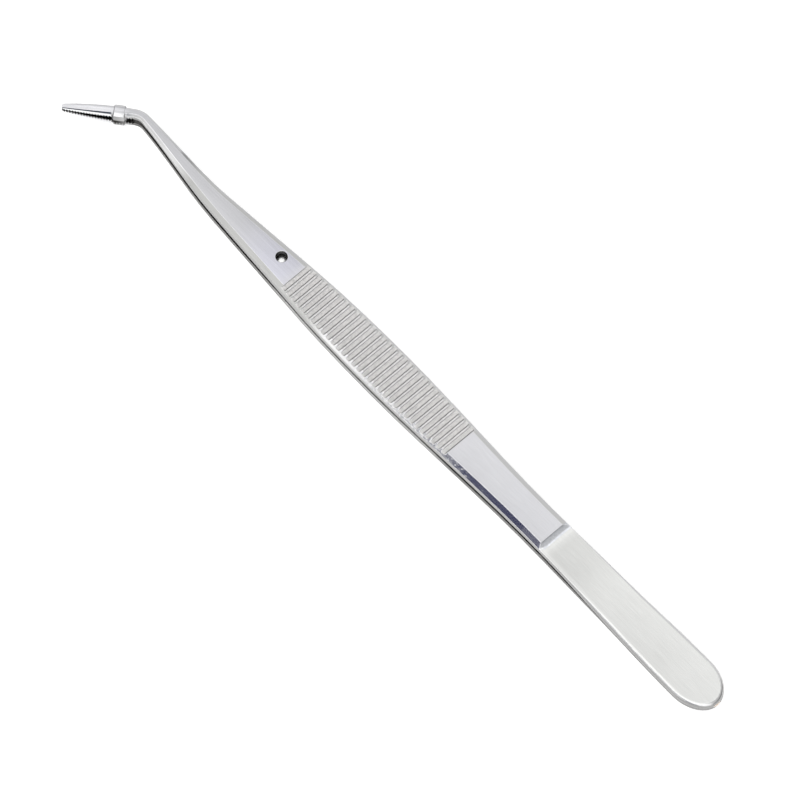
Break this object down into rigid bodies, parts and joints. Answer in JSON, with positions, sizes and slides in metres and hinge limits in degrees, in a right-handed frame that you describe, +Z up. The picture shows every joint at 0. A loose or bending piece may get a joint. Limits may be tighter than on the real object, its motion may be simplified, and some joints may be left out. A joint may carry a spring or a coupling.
{
  "type": "cotton forceps",
  "caption": "Angled dental cotton forceps: two spring arms joined at the butt, grooved grip, guide pin, collared and toothed bent jaws.",
  "frame": {"origin": "centre of the lower arm's smooth outer flat, between the step and the grip grooves, on the resting plane", "axes": "+X along the arms from the joined butt towards the jaws, +Y to the side that the jaws turn to, +Z up through the closed arms"},
  "size_m": [0.1589, 0.0122, 0.0041],
  "materials": {
    "arm_steel": "satin ground stainless steel, polished edges",
    "pin_steel": "polished stainless steel",
    "weld_steel": "dressed weld with a faint heat tint"
  },
  "bodies": {
    "lower": {"lower_arm": "arm_steel", "guide_pin": "pin_steel", "butt_weld": "weld_steel"},
    "upper": {"upper_arm": "arm_steel"}
  },
  "joints": [
    {"name": "arm_spring", "type": "hinge", "parent": "lower", "child": "upper", "pos_m": [-0.05292, 0, 0.00205], "axis": [0, -1, 0], "range_deg": [0, 4.5]}
  ]
}
